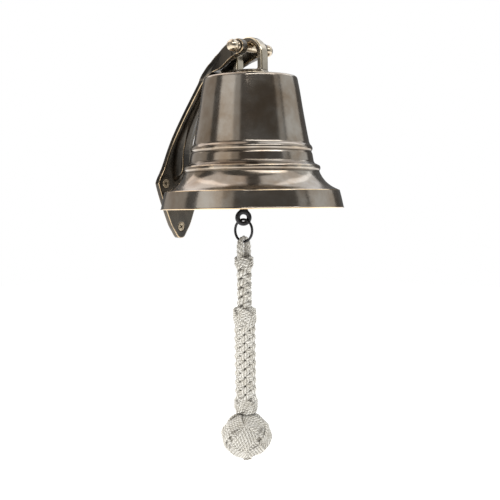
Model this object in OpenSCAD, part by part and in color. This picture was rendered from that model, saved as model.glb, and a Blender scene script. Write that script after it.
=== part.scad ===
// Wall-hung ship bell: a cast bell on a forked wall bracket, rung by a knotted rope on its clapper.
// Heights are measured from the bell's lip, and distances "out" from the wall.

/* [Bell] */
// Diameter of the mouth at the lip
mouth_d = 178; // [176:0.5:180]
// Height of the bell's body from lip to shoulder
bell_h = 127; // [126:0.5:128]
// Diameter of the flat crown
crown_d = 85; // [82:1:88]
// Thickness of the wall at the waist
wall = 4.6; // [4:0.1:5]

/* [Crown loop] */
// Outside width of the loop
loop_w = 37; // [36:0.5:38]
// Thickness of the loop's bar
loop_bar = 6.2; // [5.5:0.1:6.5]
// Depth of the loop along the pin
loop_depth = 10; // [8:0.5:11]

/* [Bracket] */
// Distance from the wall to the bell's axis
axis_out = 102; // [101:0.5:104]
// Height of the pin above the lip
pin_h = 155; // [154.5:0.5:155.5]
// Thickness of the wall plate
plate_t = 6; // [5:0.5:6.5]
// Distance of each upper screw from the middle
screw_x = 21; // [20:0.5:22]
// Height between the upper screws and the lower one
screw_rise = 44; // [43:0.5:45]

/* [Pin] */
// Diameter of the pin
pin_d = 8; // [7:0.5:8]
// Diameter of the ball nuts
ball_nut_d = 12; // [11:0.5:13]

/* [Clapper] */
// Diameter of the striking ball
clapper_d = 34; // [32:0.5:35]
// Diameter of the clapper's rod
rod_d = 6; // [5:0.5:7]
// Outside diameter of the eye under the mouth
tail_d = 16; // [15.5:0.5:16]
// Outside diameter of the rope's ring
ring_d = 24; // [23.5:0.5:24.5]

/* [Rope] */
// Diameter of the upper braid
upper_braid_d = 15.5; // [14:0.5:16]
// Diameter of the lower braid
lower_braid_d = 20.8; // [19:0.2:21]
// Widest diameter of the ball knot
ball_knot_d = 49; // [46:1:50]

/* [Hidden] */
$fn = 96;

gap = 0.3;                  // between parts of different bodies that pass each other
fit = 0.05;                 // radial clearance of a shaft in its hole
screw_mid_h = 5;            // height of the middle of the screw pattern above the lip
turn = 45;                  // how far the clapper's eyes are turned from the pin
pin_r = pin_d / 2;
stud_r = 4;
thread_r = 2.5;             // ends of the pin

// Bracket: the wall-side edge of the arm, as [out, height]
BACK = [[0, -34], [0, 0], [0, 32], [1, 50], [6, 70], [18.5, 92], [32, 111], [46.5, 129], [61, 143.5],
    [77, 155], [90, 160.5], [102, 162]];
// The rib's edge on the bell's side
RIB = [[plate_t - 1, 32], [12, 37], [14.5, 44], [15.5, 60], [21.5, 81], [30.5, 98], [38.5, 110],
    [45, 119], [52, 127], [61, 134]];
// Half the width of plate and arm, as [half width, height]
OUTLINE = [[0, -29], [4.5, -27.8], [9, -22], [14, -15], [20, -2], [25.5, 11], [30.6, 25.5], [30.6, 28.5],
    [28.5, 33], [25, 38.5], [21.5, 45], [17.8, 56], [14.2, 71], [12.2, 92], [11.6, 111], [12, 129],
    [12.5, 150]];
// Half the thickness of the rib
RIB_HALF = [[5, 30], [5, 60], [3.6, 78], [2.4, 95], [3.5, 112], [8, 126], [12, 133]];
// One arm of the fork from the side and from above
ARM_UNDER = [[52, 128.5], [62, 134], [75, 137], [89, 143.5]];
ARM_PLAN = [[0, 45], [12, 45], [12.4, 60], [14, 74], [17, 87], [19, 94], [19, 112], [11, 112], [11, 88],
    [9, 74], [6, 68], [0, 65]];
knuckle_r = 7;
knuckle_x = [11, 19];

// Clapper heights
staple_r = 5.2;
staple_bar = 2.2;
staple_h = 100.5;
hinge_h = staple_h - staple_r;
top_eye_r = 5.4;
top_eye_bar = 2;
top_eye_h = hinge_h + staple_bar + gap + top_eye_bar - top_eye_r;
clapper_h = 18;
tail_h = -8.6;
tail_bar = 2.4;
tail_r = tail_d / 2 - tail_bar;
wire = 1.2;
ring_r = ring_d / 2 - wire;
ring_h = tail_h - tail_r + tail_bar + gap + wire - ring_r;

// Rope heights, from the ring's foot down
eye_h = ring_h - ring_r;
eye_bar = 3.7;
eye_r = wire + gap + eye_bar;
KNOT_1 = [-45.5, -59];
KNOT_2 = [-95, -116];
KNOT_3 = [-183.5, -200];
ball_h = -221.3;
ball_tall = 43;
core_r = 14;
heart_r = 5;
ends_h = [-240, -245.6];

brass = [0.45, 0.38, 0.29];
iron = [0.12, 0.12, 0.13];
cotton = [0.86, 0.84, 0.78];

// A smooth curve through points p, with n steps between each two
function curve(p, n = 4) = [
    for (i = [0 : len(p) - 2], k = [0 : n - 1])
        let (a = p[max(i - 1, 0)], b = p[i], c = p[i + 1], d = p[min(i + 2, len(p) - 1)], t = k / n)
        0.5 * (2 * b + (c - a) * t + (2 * a - 5 * b + 4 * c - d) * t * t
            + (3 * b - a - 3 * c + d) * t * t * t),
    p[len(p) - 1]];
function flip(p) = [for (i = [len(p) - 1 : -1 : 0]) p[i]];
function mirrored(p) = [for (q = flip(p)) [-q[0], q[1]]];
// The curve moved sideways, by t0 at its start and t1 at its end
function beside(p, t0, t1) = [
    for (i = [0 : len(p) - 1])
        let (d = p[min(i + 1, len(p) - 1)] - p[max(i - 1, 0)], n = [d[1], -d[0]] / norm(d))
        p[i] + n * (t0 + (t1 - t0) * i / (len(p) - 1))];
function arc(c, r, a0, a1, n = 6) = [for (k = [0 : n]) let (a = a0 + (a1 - a0) * k / n)
    c + r * [cos(a), sin(a)]];

// Puts a part that is drawn round the bell's axis, from the lip up, in its place
module at_bell() { translate([0, -axis_out, -screw_mid_h]) children(); }
// An [out, height] outline, as wide as half to each side of the middle
module side_slab(points, half) {
    translate([0, 0, -screw_mid_h]) rotate([90, 0, -90])
        linear_extrude(2 * half, center = true) polygon(points);
}
// A [half width, height] outline, mirrored, as deep as the whole bracket
module front_slab(points) {
    translate([0, 0, -screw_mid_h]) rotate([90, 0, 0])
        linear_extrude(130) polygon(concat(points, mirrored(points)));
}
module torus(r, bar, about_z) {
    rotate([90, 0, about_z]) rotate_extrude() translate([r, 0]) circle(bar, $fn = 48);
}
module along_x(x0, x1, r) { translate([x0, 0, 0]) rotate([0, 90, 0]) cylinder(x1 - x0, r, r); }
// The clapper leans in its staple, and all that hangs from it goes with its tail
lean = 4.86;
hang_long = hinge_h - tail_h;
hang = [-hang_long * sin(lean) * sin(45), hang_long * sin(lean) * sin(45), hang_long * (1 - cos(lean))];
module leaning() {
    at_bell() translate([0, 0, hinge_h]) rotate(lean, [1, 1, 0]) translate([0, 0, -hinge_h]) children();
}
module hanging() { at_bell() translate(hang) children(); }
module at_pin() { translate([0, -axis_out, pin_h - screw_mid_h]) children(); }
module at_screws() {
    for (p = [[-screw_x, screw_rise / 2], [screw_x, screw_rise / 2], [0, -screw_rise / 2]])
        translate([p[0], 0, p[1]]) rotate([90, 0, 0]) children();
}

screw_r = 2.1;
neck_r = 1.5;                // the screw's neck inside the plate
screw_head_r = 4.4;
screw_head_t = 2.7;
module countersink(extra) {
    long = screw_head_t + 2;
    translate([0, 0, plate_t - screw_head_t - extra]) cylinder(long, screw_r + extra,
        screw_r + extra + (screw_head_r - screw_r) / screw_head_t * long);
}

module wall_bracket() {
    back = curve(BACK);
    color(brass) difference() {
        union() {
            intersection() {
                side_slab(concat(beside(back, plate_t, 4.2), flip(back)), 40);
                front_slab(curve(OUTLINE, 3));
            }
            intersection() {
                side_slab(concat(curve(RIB), flip([for (p = back) if (p[1] > 30 && p[1] < 142) p])), 40);
                front_slab(curve(RIB_HALF, 3));
            }
            // the cove between flange and rib, in steps
            for (k = [1 : 3]) intersection() {
                side_slab(concat(beside(back, plate_t + 1.6 * k, 4.2 + 1.3 * k), flip(back)), 40);
                front_slab([for (p = curve(RIB_HALF, 3)) if (p[1] < 100) p + [5 - 1.6 * k, 0]]);
            }
            intersection() {
                side_slab(concat([for (p = back) if (p[1] > 128) p], [[102, 148]],
                    flip(curve(ARM_UNDER))), 40);
                for (m = [0, 1]) mirror([m, 0, 0]) translate([0, 0, 100])
                    linear_extrude(80) polygon([for (p = ARM_PLAN) [p[0], -p[1]]]);
            }
            at_pin() for (m = [0, 1]) mirror([m, 0, 0]) along_x(knuckle_x[0], knuckle_x[1], knuckle_r);
        }
        at_pin() along_x(-30, 30, pin_r + fit);
        at_screws() {
            translate([0, 0, -1]) cylinder(plate_t + 2, screw_r + 0.2, screw_r + 0.2);
            countersink(0.2);
        }
        // room for the crown loop between the arms
        at_pin() along_x(-10.9, 10.9, 22);
    }
}

// Countersunk oval heads with a cross recess, a plain shank and a threaded point
module wall_screws() {
    shank = 5;
    color(brass) at_screws() difference() {
        union() {
            countersink_head();
            translate([0, 0, -0.01]) cylinder(plate_t - screw_head_t + 0.01, neck_r, neck_r);
            translate([0, 0, -shank]) cylinder(shank, screw_r, screw_r);
            translate([0, 0, -shank - 1]) cylinder(1.01, 1.2, screw_r);
        }
        for (a = [0, 90]) translate([0, 0, plate_t + 0.4]) rotate([0, 0, a])
            cube([5, 1.1, 2.6], center = true);
    }
}
module countersink_head() {
    translate([0, 0, plate_t - screw_head_t]) cylinder(screw_head_t - 0.4, screw_r, screw_head_r);
    intersection() {
        translate([0, 0, plate_t - 0.4]) cylinder(3, screw_head_r, screw_head_r);
        translate([0, 0, plate_t - 7.4]) sphere(8.4);
    }
}

module pivot_pin() {
    color(brass) at_pin() {
        along_x(-knuckle_x[1], knuckle_x[1], pin_r);
        along_x(-knuckle_x[1] - 7, knuckle_x[1] + 7, thread_r);
    }
}

module ball_nuts() {
    color(brass) at_pin() for (s = [0, 1]) mirror([s, 0, 0]) difference() {
        union() {
            translate([knuckle_x[1] + 6.4, 0, 0]) sphere(ball_nut_d / 2);
            along_x(knuckle_x[1], knuckle_x[1] + 2, 5);
        }
        along_x(knuckle_x[1] - 1, knuckle_x[1] + 7.5, thread_r + fit);
    }
}

// The bell's outside, from the crown's middle down to the lip, as [radius, height]
function bell_outside() = let (m = mouth_d / 2, h = bell_h, c = crown_d / 2) concat(
    [[stud_r + 0.3, h + 1]],
    [[18, h + 0.8]],
    arc([c, h - 3], 3, 80, 8, 5),
    curve([[46.1, h - 6], [47.6, h - 14], [49.3, h - 25], [51.4, h - 38], [54.4, h - 55], [56.2, 63]], 4),
    [[56.6, 62.2]],
    arc([58.2, 62.4], 1.6, 180, 250, 3),
    arc([55.7, 57.6], 3.4, 30, -50, 4),
    [[57.8, 54], [58, 52.6], [60.6, 44.6]],
    arc([62.6, 44.8], 2, 185, 255, 3),
    arc([62.9, 38.7], 3.6, 40, -45, 4),
    [[65.6, 35.4]],
    curve([[65.7, 34.6], [68.2, 30], [72.4, 24.8], [78, 20.6], [m - 4.6, 17.4]], 4),
    [[m - 4.2, 16.8], [m - 2.6, 11], [m - 0.3, 0.6], [m, 0]]);
// The inside, from the lip up
function bell_inside() = let (m = mouth_d / 2, h = bell_h, c = crown_d / 2) concat(
    [[m - 5, 0], [m - 5.6, 1]],
    curve([[m - 7, 6], [76, 15], [68, 24], [61, 33], [56.5, 43], [53, 54]], 4),
    curve([[51.4, 63], [54.4 - wall, h - 55], [51.4 - wall, h - 38], [47.6 - wall, h - 14]], 4),
    arc([c - wall - 6, h - 14.5], 6.5, 12, 85, 4),
    [[14, h - 7], [stud_r + 0.3, h - 7]]);

module bell_shell() {
    color(brass) at_bell() rotate_extrude($fn = 180)
        polygon(concat(bell_outside(), bell_inside()));
}

hub_r = 21;
hub_h = bell_h + 1.1;
module crown_loop() {
    top = pin_h + pin_r + fit;
    inner = loop_w / 2 - loop_bar;
    mid = top - inner;
    color(brass) at_bell() {
        difference() {
            union() {
                translate([-loop_depth / 2, 0, mid]) rotate([0, 90, 0])
                    cylinder(loop_depth, loop_w / 2, loop_w / 2);
                translate([0, 0, (mid + hub_h + 2) / 2])
                    cube([loop_depth, loop_w, mid - hub_h - 2], center = true);
                translate([0, 0, hub_h]) rotate_extrude() polygon(concat([[0, 0], [hub_r, 0],
                    [hub_r, 2.2]], arc([hub_r, 8.2], 6, 270, 215, 5), [[15, 5.4], [0, 6]]));
            }
            translate([-hub_r, 0, mid]) rotate([0, 90, 0]) cylinder(2 * hub_r, inner, inner);
            translate([0, 0, (mid + hub_h + 6) / 2])
                cube([2 * hub_r, 2 * inner, mid - hub_h - 6], center = true);
        }
        translate([0, 0, staple_h + 6]) cylinder(hub_h - staple_h - 5, stud_r, stud_r);
    }
}

nut_top = bell_h - 8.6;
nut_t = 6.5;
module crown_washer() {
    color(brass) at_bell() translate([0, 0, nut_top]) difference() {
        cylinder(1.6, 11, 11);
        translate([0, 0, -1]) cylinder(4, stud_r + 0.2, stud_r + 0.2);
    }
}
module crown_nut() {
    color(brass) at_bell() translate([0, 0, nut_top - nut_t]) difference() {
        cylinder(nut_t, 7.5, 7.5, $fn = 6);
        translate([0, 0, -1]) cylinder(nut_t + 2, stud_r + fit, stud_r + fit);
    }
}
// An eye nut on the stud's end, from which the clapper hangs
module clapper_staple() {
    low = staple_h + staple_r;
    color(iron) at_bell() difference() {
        union() {
            translate([0, 0, staple_h]) torus(staple_r, staple_bar, turn);
            translate([0, 0, hinge_h]) bearing(staple_bar + 0.05, -turn);
            translate([0, 0, low]) cylinder(nut_top - nut_t - low, 6, 6);
        }
        translate([0, 0, staple_h + 6]) cylinder(20, stud_r + fit, stud_r + fit);
    }
}

module clapper_rod() {
    low = clapper_h + 4;
    color(iron) leaning() {
        translate([0, 0, top_eye_h]) torus(top_eye_r, top_eye_bar, -turn);
        translate([0, 0, low]) cylinder(top_eye_h - top_eye_r - low, rod_d / 2, rod_d / 2);
    }
}
module clapper_ball() {
    color(iron) leaning() difference() {
        translate([0, 0, clapper_h]) sphere(clapper_d / 2);
        translate([0, 0, clapper_h + 4]) cylinder(30, rod_d / 2 + fit, rod_d / 2 + fit);
        translate([0, 0, clapper_h - 30]) cylinder(26, rod_d / 2 + fit, rod_d / 2 + fit);
    }
}
// A short straight bearing on a bar, across the direction about_z
module bearing(r, about_z) { rotate([90, 0, about_z]) translate([0, 0, -1.6]) cylinder(3.2, r, r); }
// The eye is hollowed along the ring's wire, so that the ring has room to swing on it
hollow_r = 2.2;
module clapper_tail() {
    color(iron) difference() {
        union() {
            hanging() translate([0, 0, tail_h]) torus(tail_r, tail_bar, -turn);
            hanging() translate([0, 0, tail_h - tail_r]) bearing(tail_bar + 0.05, turn);
            leaning() translate([0, 0, tail_h + tail_r])
                cylinder(clapper_h - 4 - tail_h - tail_r, rod_d / 2, rod_d / 2);
        }
        hanging() translate([0, 7, ring_h + ring_r]) rotate([90, 0, 0]) cylinder(14, hollow_r, hollow_r);
    }
}
module rope_ring() {
    color(iron) hanging() {
        translate([0, 0, ring_h]) torus(ring_r, wire, 90);
        translate([0, 0, ring_h - ring_r]) bearing(wire + 0.05, 0);
    }
}

module rope_piece(h, r) {
    color(cotton) hanging() translate([0, 0, h[1]]) difference() {
        cylinder(h[0] - h[1], r, r);
        children();
    }
}
module rope_eye() {
    color(cotton) hanging() translate([0, 0, eye_h]) {
        rotate([90, 0, 0]) rotate_extrude(angle = 180) translate([eye_r, 0]) circle(eye_bar, $fn = 48);
        for (s = [-1, 1]) translate([s * eye_r, 0, KNOT_1[0] - eye_h])
            cylinder(eye_h - KNOT_1[0], eye_bar, eye_bar, $fn = 48);
    }
}
// A knot tied round the rope: a drum with round edges
module round_knot(h, r) {
    tall = h[0] - h[1];
    edge = min(4, tall / 3);
    color(cotton) hanging() translate([0, 0, h[1]]) rotate_extrude()
        polygon(concat([[0, 0]], arc([r - edge, edge], edge, 270, 360),
            arc([r - edge, tall - edge], edge, 0, 90), [[0, tall]]));
}
module heart_bore() {
    hanging() translate([0, 0, ball_h]) cylinder(KNOT_2[1] - ball_h, heart_r, heart_r);
}
module eye_knot() { round_knot(KNOT_1, 9); }
module upper_braid() { rope_piece([KNOT_1[1], KNOT_2[0]], upper_braid_d / 2); }
module middle_knot() { round_knot(KNOT_2, lower_braid_d / 2 + 0.6); }
module lower_braid() {
    color(cotton) difference() {
        rope_piece([KNOT_2[1], KNOT_3[0]], lower_braid_d / 2);
        heart_bore();
    }
}
module lower_knot() {
    color(cotton) difference() {
        round_knot(KNOT_3, lower_braid_d / 2 + 1.3);
        heart_bore();
    }
}
module ball_knot() {
    r = ball_knot_d / 2;
    color(cotton) difference() {
        hanging() translate([0, 0, ball_h]) rotate_extrude() polygon(concat(
            [for (a = [-76 : 8 : 60]) [r * cos(a), ball_tall / 2 * sin(a)]],
            [[11, KNOT_3[1] - ball_h], [0, KNOT_3[1] - ball_h], [0, ends_h[0] - ball_h],
                [6, ends_h[0] - ball_h]]));
        hanging() translate([0, 0, ball_h]) sphere(core_r);
        heart_bore();
    }
}
module heart_rope() {
    color(cotton) difference() {
        heart_bore();
        hanging() translate([0, 0, ball_h]) sphere(core_r);
    }
}
module ball_core() { color("burlywood") hanging() translate([0, 0, ball_h]) sphere(core_r); }
module strand_ends() {
    color(cotton) hanging() for (k = [0 : 4]) rotate([0, 0, 72 * k]) translate([3.6, 0, ends_h[1]])
        cylinder(ends_h[0] - ends_h[1], 1.9, 1.9);
}

wall_bracket();
wall_screws();
pivot_pin();
ball_nuts();
bell_shell();
crown_loop();
crown_washer();
crown_nut();
clapper_staple();
clapper_rod();
clapper_ball();
clapper_tail();
rope_ring();
rope_eye();
eye_knot();
upper_braid();
middle_knot();
lower_braid();
lower_knot();
ball_knot();
heart_rope();
ball_core();
strand_ends();
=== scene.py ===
"""The ship bell's looks, built round its CAD frame.

Shapes are drawn in millimetres round the bell's axis: x across and y towards the wall, as in the frame,
and z up from the bell's lip. place() then moves them into the frame, in metres.
"""

import math

import bpy
import numpy as np
from mathutils import Matrix, Vector


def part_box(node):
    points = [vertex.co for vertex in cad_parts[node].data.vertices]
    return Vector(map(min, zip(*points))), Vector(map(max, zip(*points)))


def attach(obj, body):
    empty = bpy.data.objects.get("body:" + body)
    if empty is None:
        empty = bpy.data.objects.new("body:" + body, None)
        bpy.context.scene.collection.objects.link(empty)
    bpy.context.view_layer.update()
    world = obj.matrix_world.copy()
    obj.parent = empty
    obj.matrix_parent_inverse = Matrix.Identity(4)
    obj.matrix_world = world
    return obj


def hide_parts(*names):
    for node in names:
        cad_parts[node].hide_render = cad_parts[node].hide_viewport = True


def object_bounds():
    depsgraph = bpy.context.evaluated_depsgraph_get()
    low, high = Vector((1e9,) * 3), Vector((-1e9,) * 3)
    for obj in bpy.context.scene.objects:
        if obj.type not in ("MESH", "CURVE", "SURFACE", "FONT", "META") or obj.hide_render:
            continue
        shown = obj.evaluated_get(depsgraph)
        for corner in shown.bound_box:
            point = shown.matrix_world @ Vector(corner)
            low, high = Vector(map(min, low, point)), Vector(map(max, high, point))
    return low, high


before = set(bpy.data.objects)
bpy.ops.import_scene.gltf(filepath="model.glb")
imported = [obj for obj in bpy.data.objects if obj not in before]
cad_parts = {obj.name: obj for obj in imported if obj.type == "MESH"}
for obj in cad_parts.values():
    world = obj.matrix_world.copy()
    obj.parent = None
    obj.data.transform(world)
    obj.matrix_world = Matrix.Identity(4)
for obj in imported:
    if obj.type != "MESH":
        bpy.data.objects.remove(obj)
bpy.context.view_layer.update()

MM = 0.001


# ---------------------------------------------------------------- sizes, from the frame


def middle(node):
    """The middle of a CAD node's box, in millimetres."""
    low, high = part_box(node)
    return (np.array(low) + np.array(high)) / 2 / MM


def span(node):
    """The width, depth and height of a CAD node's box, in millimetres."""
    low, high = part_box(node)
    return (np.array(high) - np.array(low)) / MM


def heights(node):
    """The lowest and highest height of a CAD node above the lip, in millimetres."""
    low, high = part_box(node)
    return low.z / MM - LIP_Z, high.z / MM - LIP_Z


def rope_heights(node):
    """A rope node's heights on the bell's axis, before the rope moves with the clapper's tail."""
    return tuple(h - HANG[2] for h in heights(node))


AXIS = middle("bell_shell")
LIP_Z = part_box("bell_shell")[0].z / MM
AXIS_OUT = -AXIS[1]
MOUTH_R = span("bell_shell")[0] / 2
PIN_H = middle("pivot_pin")[2] - LIP_Z
PIN_R = span("pivot_pin")[2] / 2
SCREW_MID_H = -LIP_Z


def place(points):
    """Moves points from the bell's axis and lip, in millimetres, into the frame, in metres."""
    return (np.asarray(points, float).reshape(-1, 3) + [0, -AXIS_OUT, LIP_Z]) * MM


# The clapper leans about a hinge that lies diagonally, and the heights are those of the hinge and of its
# tail's eye. HANG is how far the lean moves that eye, and with it the ring and the rope.
DIAGONAL = math.sqrt(0.5)
LEAN = math.radians(4.86)
HINGE_H, TAIL_H = 95.3, -8.6
HANG = np.array([-DIAGONAL, DIAGONAL, 0]) * (HINGE_H - TAIL_H) * math.sin(LEAN)
HANG[2] = (HINGE_H - TAIL_H) * (1 - math.cos(LEAN))


def leaning(points):
    """Turns points with the clapper, which leans in its staple, about the hinge's diagonal line."""
    turn = np.array(Matrix.Rotation(LEAN, 3, Vector((1, 1, 0))))
    return (np.asarray(points) - [0, 0, HINGE_H]) @ turn.T + [0, 0, HINGE_H]


# ---------------------------------------------------------------- curves and outlines


def curve(points, steps=6):
    """A smooth line through points: between each two, a cubic whose slope at a point is half the way
    from the point before it to the point after it."""
    p = np.array(points, float)
    before, after = p[np.maximum(np.arange(len(p)) - 1, 0)], p[np.minimum(np.arange(len(p)) + 1, len(p) - 1)]
    t = (np.arange(steps) / steps)[None, :, None]
    a, b, c, d = before[:-1, None], p[:-1, None], p[1:, None], after[1:, None]
    cubic = 2 * b + (c - a) * t + (2 * a - 5 * b + 4 * c - d) * t**2 + (3 * b - a - 3 * c + d) * t**3
    return np.concatenate([0.5 * cubic.reshape(-1, p.shape[1]), p[-1:]])


def arc(centre, radius, start, end, steps=6):
    """Points on a circle, from one angle in degrees to another."""
    a = np.radians(np.linspace(start, end, steps + 1))
    return np.array(centre) + radius * np.stack([np.cos(a), np.sin(a)], 1)


def unit(vectors):
    """Each vector of a list made 1 long."""
    return vectors / np.linalg.norm(vectors, axis=1, keepdims=True)


def round_axis(r, angle, z):
    """Points at distances r from the bell's axis, at angles round it and at heights z."""
    return np.stack([r * np.cos(angle), r * np.sin(angle), z], 1)


def beside(line, first, last):
    """A line moved to its right by a distance that goes evenly from first to last."""
    way = unit(np.gradient(line, axis=0))
    return line + np.stack([way[:, 1], -way[:, 0]], 1) * np.linspace(first, last, len(line))[:, None]


def outline_distance(outline, u, v):
    """The distance of points (u, v) from a closed outline, negative inside: the least distance to any of
    its sides, whose sign turns at each side that a level ray from the point crosses."""
    least, sign = np.inf, 1.0
    for (ax, ay), (bx, by) in zip(outline, np.roll(outline, -1, axis=0)):
        ex, ey, wx, wy = bx - ax, by - ay, u - ax, v - ay
        t = np.clip((wx * ex + wy * ey) / (ex * ex + ey * ey + 1e-12), 0, 1)
        least = np.minimum(least, (wx - ex * t) ** 2 + (wy - ey * t) ** 2)
        rising, falling, left = v >= ay, v < by, ex * wy > ey * wx
        sign = np.where((rising & falling & left) | ~(rising | falling | left), -sign, sign)
    return sign * np.sqrt(least)


# ---------------------------------------------------------------- solids from distance fields


def both(a, b, round_r):
    """What lies inside both fields: the greater of the two, but where both are above -round_r, the
    length of (a + round_r, b + round_r) less round_r, which rounds the edge."""
    return np.minimum(np.maximum(a, b), -round_r) + np.hypot(
        np.maximum(a + round_r, 0), np.maximum(b + round_r, 0)
    )


def either(a, b, cove_r):
    """What lies inside either field: the lesser of the two, but where both are below cove_r, cove_r less
    the length of (cove_r - a, cove_r - b), which fills the corner with a cove."""
    return np.maximum(np.minimum(a, b), cove_r) - np.hypot(
        np.maximum(cove_r - a, 0), np.maximum(cove_r - b, 0)
    )


CORNERS = np.array([[i, j, k] for i in (0, 1) for j in (0, 1) for k in (0, 1)])
CUBE_EDGES = [(a, b) for a in range(8) for b in range(a) if abs(CORNERS[a] - CORNERS[b]).sum() == 1]


def skin(field, low, high, step):
    """The surface where field(x, y, z) is zero. Each cube of a grid that the surface crosses gets one
    point, the mean of the crossings of its edges, and each crossed grid edge joins the four points round
    it. The points then slide along the field's slope onto the surface."""
    low = np.array(low, float)
    x, y, z = (np.arange(a, b + step, step) for a, b in zip(low, high))
    f = np.array(np.broadcast_to(field(x[:, None, None], y[None, :, None], z[None, None, :]),
                                 (len(x), len(y), len(z))))
    inside = f < 0
    nx, ny, nz = (n - 1 for n in f.shape)
    count = sum(inside[i : nx + i, j : ny + j, k : nz + k].astype(np.int8) for i, j, k in CORNERS)
    crossed = (count > 0) & (count < 8)
    cubes = np.argwhere(crossed)
    number = np.full(crossed.shape, -1)
    number[crossed] = np.arange(len(cubes))
    value = np.stack([f[tuple((cubes + c).T)] for c in CORNERS], 1)
    total, share = np.zeros((len(cubes), 3)), np.zeros((len(cubes), 1))
    for a, b in CUBE_EDGES:
        fa, fb = value[:, a], value[:, b]
        cut = ((fa < 0) != (fb < 0))[:, None]
        t = (fa / np.where(fa == fb, 1, fa - fb))[:, None]
        total += np.where(cut, CORNERS[a] + t * (CORNERS[b] - CORNERS[a]), 0)
        share += cut
    points = low + (cubes + total / share) * step
    quads = []
    for axis in range(3):
        one, two = np.eye(3, dtype=int)[(axis + 1) % 3], np.eye(3, dtype=int)[(axis + 2) % 3]
        here = [slice(None)] * 3
        there = [slice(None)] * 3
        here[axis], there[axis] = slice(0, -1), slice(1, None)
        at = np.argwhere(inside[tuple(here)] != inside[tuple(there)])
        side = (at[:, (axis + 1) % 3] > 0) & (at[:, (axis + 2) % 3] > 0)
        side &= (at[:, (axis + 1) % 3] < f.shape[(axis + 1) % 3] - 1)
        side &= (at[:, (axis + 2) % 3] < f.shape[(axis + 2) % 3] - 1)
        at = at[side]
        four = np.stack([number[tuple((at - d).T)] for d in (0 * one, one, one + two, two)], 1)
        out = inside[tuple(at.T)]
        quads.append(np.where(out[:, None], four, four[:, ::-1]))
    quads = np.concatenate(quads)
    quads = quads[(quads >= 0).all(1)]
    for _ in range(3):
        slope = slope_of(field, points, 0.02)
        far = field(*points.T) / np.maximum((slope**2).sum(1), 0.05)
        points -= np.clip(far, -0.4 * step, 0.4 * step)[:, None] * slope
    return points, quads


def slope_of(field, points, reach):
    """The field's slope at points, from its values a short reach away on both sides."""
    steps = np.eye(3) * reach
    return np.stack([(field(*(points + d).T) - field(*(points - d).T)) / (2 * reach) for d in steps], 1)


def bend_of(field, points, reach):
    """How sharply the surface bends out (above 0) or in (below 0) at points: the sum of the field's
    second differences over a reach."""
    steps = np.eye(3) * reach
    here = field(*points.T)
    return sum(field(*(points + d).T) + field(*(points - d).T) - 2 * here for d in steps) / reach**2


# ---------------------------------------------------------------- pieces


def linked(name, data):
    """Makes an object of some data and links it to the scene."""
    made = bpy.data.objects.new(name, data)
    bpy.context.scene.collection.objects.link(made)
    return made


class Stock:
    """Surfaces gathered for one piece: points, faces, and a wear-and-shade, hollow and map value at each
    point.
    The first is edge wear on metal, and on the rope it is how deep a strand lies in painted shade; on the
    rope, hollow is painted shade in its pits.
    """

    def __init__(self):
        self.points, self.quads, self.tris, self.count = [], [], [], 0
        self.wear, self.hollow, self.map = [], [], []

    def add(self, points, quads, tris=None, wear=None, hollow=None, at=None):
        """Adds one surface. Values that aren't given are 0 all over it."""
        n = len(points)
        self.points.append(np.asarray(points, float))
        self.quads.append(np.asarray(quads, int).reshape(-1, 4) + self.count)
        if tris is not None:
            self.tris.append(np.asarray(tris, int).reshape(-1, 3) + self.count)
        self.wear.append(np.zeros(n) if wear is None else np.asarray(wear, float))
        self.hollow.append(np.zeros(n) if hollow is None else np.asarray(hollow, float))
        self.map.append(np.zeros((n, 3)) if at is None else np.asarray(at, float))
        self.count += n
        return self

    def piece(self, name, body, slot, finish, stands_for=()):
        """Makes the mesh, smooth all over, and hangs it on its body. The rope's pieces are drawn on the
        bell's axis, and move with the clapper's tail."""
        points = place(np.concatenate(self.points) + (HANG if body == "lanyard" else 0))
        quads = np.concatenate(self.quads)
        tris = np.concatenate(self.tris) if self.tris else np.zeros((0, 3), int)
        mesh = bpy.data.meshes.new(name)
        mesh.vertices.add(len(points))
        mesh.vertices.foreach_set("co", points.ravel())
        mesh.loops.add(quads.size + tris.size)
        mesh.loops.foreach_set("vertex_index", np.concatenate([quads.ravel(), tris.ravel()]))
        mesh.polygons.add(len(quads) + len(tris))
        start = np.concatenate([np.arange(len(quads)) * 4, quads.size + np.arange(len(tris)) * 3])
        mesh.polygons.foreach_set("loop_start", start)
        mesh.polygons.foreach_set("use_smooth", np.ones(len(start), bool))
        mesh.update(calc_edges=True)
        mesh.validate()
        for key, values in (("wear", self.wear), ("hollow", self.hollow)):
            mesh.attributes.new(key, "FLOAT", "POINT").data.foreach_set("value", np.concatenate(values))
        along = mesh.attributes.new("along", "FLOAT_VECTOR", "POINT")
        along.data.foreach_set("vector", np.concatenate(self.map).ravel())
        obj = linked(name, mesh)
        mesh.materials.append(finish)
        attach(obj, body)
        if stands_for:
            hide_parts(*stands_for)
        return obj


def grid_faces(rows, columns, round_rows=False, round_columns=True):
    """The quads of a grid of points, closed on itself along its rows or columns where asked."""
    i = np.arange(rows if round_rows else rows - 1)[:, None]
    j = np.arange(columns if round_columns else columns - 1)[None, :]
    a, b = i * columns + j, i * columns + (j + 1) % columns
    c, d = (i + 1) % rows * columns + (j + 1) % columns, (i + 1) % rows * columns + j
    return np.stack([a, b, c, d], -1).reshape(-1, 4)


def edge_bend(line, closed):
    """How sharply a profile bends at each of its points, in radians per millimetre: the turn of its
    direction there over the length that it turns in."""
    p = np.asarray(line, float)
    nxt = np.roll(p, -1, axis=0) if closed else p[np.minimum(np.arange(len(p)) + 1, len(p) - 1)]
    prv = np.roll(p, 1, axis=0) if closed else p[np.maximum(np.arange(len(p)) - 1, 0)]
    a, b = p - prv, nxt - p
    turn = np.arctan2(a[:, 0] * b[:, 1] - a[:, 1] * b[:, 0], (a * b).sum(1))
    length = (np.linalg.norm(a, axis=1) + np.linalg.norm(b, axis=1)) / 2
    return turn / np.maximum(length, 0.25)


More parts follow.
